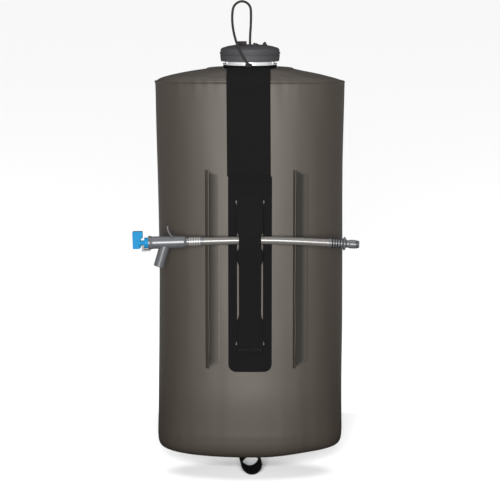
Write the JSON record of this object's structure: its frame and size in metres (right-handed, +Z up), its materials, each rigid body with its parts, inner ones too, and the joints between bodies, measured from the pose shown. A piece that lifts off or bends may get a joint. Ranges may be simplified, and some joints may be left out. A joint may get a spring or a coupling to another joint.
{
  "type": "hydration bladder",
  "caption": "Soft water bladder with a wide screw cap, a cord loop to hang it by, a lash panel down its front and a drinking hose with a turning spout valve tucked under it.",
  "frame": {"origin": "inside the top of the cord loop, where a hook would hold it", "axes": "+Z up along the bag, +X across its width with the plug end of the hose at +X, -Y out of its front"},
  "size_m": [0.2604, 0.1341, 0.5618],
  "materials": {
    "smoke_film": "satin",
    "neck_clear": "gloss",
    "black_webbing": "woven",
    "cap_grey": "matte",
    "cap_dark": "matte",
    "seal_rubber": "matte",
    "port_plastic": "satin",
    "steel": "bright",
    "hose_clear": "gloss",
    "fitting_grey": "gloss",
    "valve_blue": "gloss",
    "cord_black": "braided"
  },
  "bodies": {
    "root": {"bag_wall": "smoke_film", "top_panel": "smoke_film", "base_panel": "smoke_film", "bag_neck": "neck_clear", "neck_strap": "black_webbing", "lash_panel": "black_webbing", "hose_band": "black_webbing", "lash_fin_left": "smoke_film", "lash_fin_right": "smoke_film", "base_loop_patch": "smoke_film", "tether_cord": "cord_black", "tether_knot": "cord_black", "tether_stop_knot": "cord_black"},
    "cap_seal": {"cap_gasket": "seal_rubber"},
    "cap": {"cap_body": "cap_grey", "cap_dome": "cap_grey", "port_socket": "port_plastic", "port_o_ring": "seal_rubber", "port_spring": "steel", "port_cover_pin": "steel", "release_spring": "steel"},
    "port_lid": {"port_cover": "cap_dark"},
    "port_valve": {"port_valve": "port_plastic"},
    "release": {"release_slider": "cap_dark"},
    "base_loop": {"base_loop": "black_webbing"},
    "hose_line": {"drink_hose": "hose_clear", "hose_collar_left": "fitting_grey", "hose_ferrule_left": "fitting_grey", "valve_body": "fitting_grey", "hang_hook": "fitting_grey", "spout_tip": "fitting_grey", "hose_collar_right": "fitting_grey", "plug_body": "fitting_grey", "plug_o_ring": "seal_rubber"},
    "valve_turn": {"valve_stem": "valve_blue", "stem_o_rings": "seal_rubber", "valve_handle": "valve_blue"}
  },
  "joints": [
    {"name": "cap_lift", "type": "slide", "parent": "root", "child": "cap_seal", "axis": [0, 0, 1], "range_m": [0, 0.00376]},
    {"name": "cap_turn", "type": "hinge", "parent": "cap_seal", "child": "cap", "pos_m": [0.0092, 0, -0.0627], "axis": [0, 0, 1], "range_deg": [0, 450]},
    {"name": "port_cover_flip", "type": "hinge", "parent": "cap", "child": "port_lid", "pos_m": [0.0144, 0, -0.0482], "axis": [0, -1, 0], "range_deg": [0, 85]},
    {"name": "port_valve_push", "type": "slide", "parent": "cap", "child": "port_valve", "axis": [0, 0, -1], "range_m": [0, 0.003], "stiffness_N_per_m": 150, "springref_m": -0.002, "deforming": ["port_spring"]},
    {"name": "release_slide", "type": "slide", "parent": "cap", "child": "release", "axis": [-1, 0, 0], "range_m": [0, 0.0015], "stiffness_N_per_m": 300, "springref_m": -0.001, "deforming": ["release_spring"]},
    {"name": "base_loop_swing", "type": "hinge", "parent": "root", "child": "base_loop", "pos_m": [0.0092, 0, -0.5353], "axis": [-0.0698, 0.9976, 0], "range_deg": [-25, 25]},
    {"name": "hose_slide", "type": "slide", "parent": "root", "child": "hose_line", "axis": [1, 0, 0], "range_m": [-0.03, 0.03]},
    {"name": "valve_turn", "type": "hinge", "parent": "hose_line", "child": "valve_turn", "pos_m": [-0.10338, -0.066, -0.27202], "axis": [0.9995, 0, 0.0305], "range_deg": [0, 90]}
  ],
  "couplings": [
    {"joint": "cap_lift", "follows": "cap_turn", "m_per_rad": 0.00047746}
  ]
}
